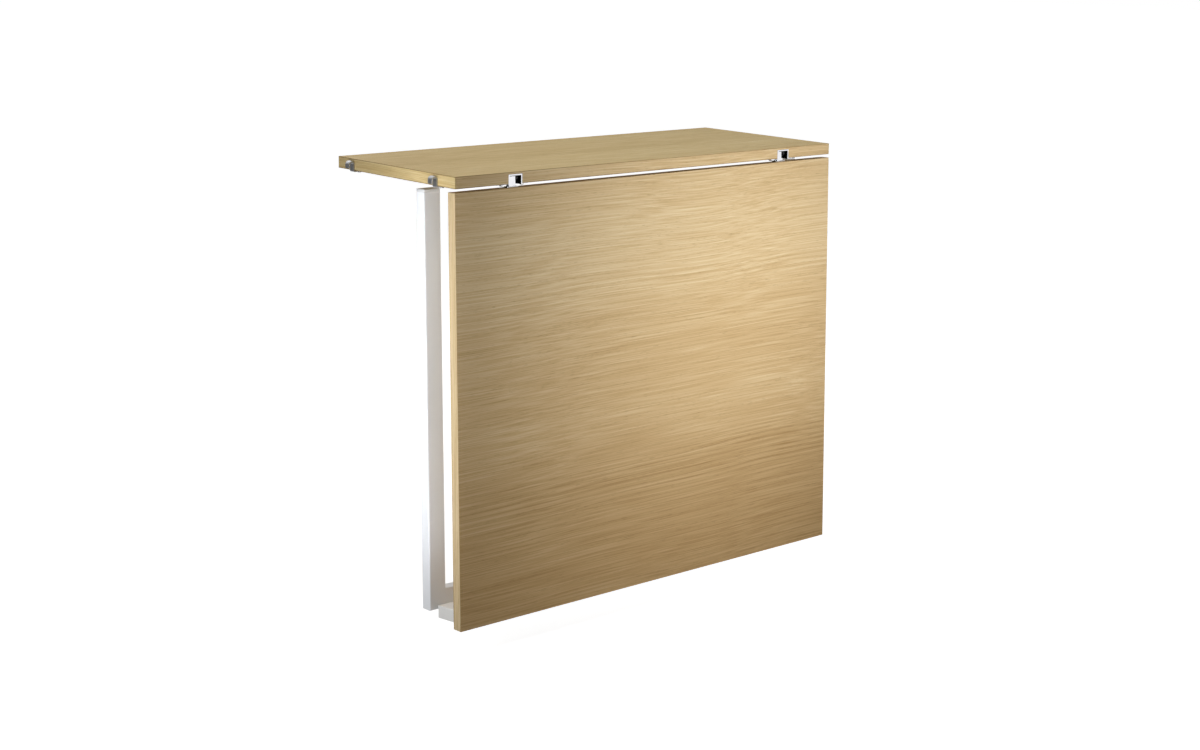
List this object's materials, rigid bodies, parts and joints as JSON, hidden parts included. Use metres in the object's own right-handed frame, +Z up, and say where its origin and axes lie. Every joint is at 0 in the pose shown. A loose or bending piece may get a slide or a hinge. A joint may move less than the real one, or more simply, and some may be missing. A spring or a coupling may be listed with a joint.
{
  "type": "wall mounted drop leaf table",
  "caption": "Oak veneered wall table with a fixed shelf, a hinged drop leaf and a white leg frame that folds flat behind the leaf.",
  "frame": {"origin": "middle of the shelf's rear edge face, which rests against the wall", "axes": "+X along the wall, to the right for someone who faces the wall; +Y into the wall; +Z up"},
  "size_m": [0.8012, 0.3175, 0.6805],
  "materials": {
    "oak_veneer": "matt clear lacquer over oak veneer",
    "board_core": "raw particle board",
    "white_lacquer": "white satin lacquer",
    "white_enamel": "white satin powder coat",
    "white_plastic": "moulded",
    "black_nylon": "moulded nylon",
    "chrome": "bright chrome plate",
    "plain_steel": "bright zinc plate",
    "zinc_screw": "zinc plate"
  },
  "bodies": {
    "shelf": {"shelf_top_veneer": "oak_veneer", "shelf_bottom_veneer": "oak_veneer", "shelf_front_band": "oak_veneer", "shelf_rear_band": "oak_veneer", "shelf_left_band": "oak_veneer", "shelf_right_band": "oak_veneer", "shelf_core": "board_core", "front_left_hook": "chrome", "front_right_hook": "chrome", "rear_left_hook": "chrome", "rear_right_hook": "chrome", "hook_screws": "zinc_screw", "housing_screws": "zinc_screw", "left_hinge_housing": "chrome", "right_hinge_housing": "chrome", "left_hinge_pin": "plain_steel", "right_hinge_pin": "plain_steel", "left_hinge_bushes": "black_nylon", "right_hinge_bushes": "black_nylon"},
    "leaf": {"leaf_outer_veneer": "oak_veneer", "leaf_inner_veneer": "oak_veneer", "leaf_hinge_edge_band": "oak_veneer", "leaf_free_edge_band": "oak_veneer", "leaf_left_band": "oak_veneer", "leaf_right_band": "oak_veneer", "leaf_core": "board_core", "leg_rail": "white_lacquer", "left_hinge_arm": "chrome", "right_hinge_arm": "chrome", "left_leg_hinge_plate": "plain_steel", "right_leg_hinge_plate": "plain_steel", "arm_screws": "zinc_screw", "rail_screws": "zinc_screw", "plate_screws": "zinc_screw"},
    "leg_frame": {"left_leg_tube": "white_enamel", "right_leg_tube": "white_enamel", "cross_tube": "white_enamel", "left_hinge_block": "plain_steel", "right_hinge_block": "plain_steel", "left_leg_hinge_pin": "plain_steel", "right_leg_hinge_pin": "plain_steel", "left_foot_cap": "white_plastic", "right_foot_cap": "white_plastic", "block_screws": "zinc_screw"}
  },
  "joints": [
    {"name": "leaf_hinge", "type": "hinge", "parent": "shelf", "child": "leaf", "pos_m": [0, -0.28925, -0.00175], "axis": [-1, 0, 0], "range_deg": [-4, 88.5]},
    {"name": "leg_hinge", "type": "hinge", "parent": "leaf", "child": "leg_frame", "pos_m": [0, -0.23658, -0.6551], "axis": [-1, 0, 0], "range_deg": [0, 90]}
  ]
}
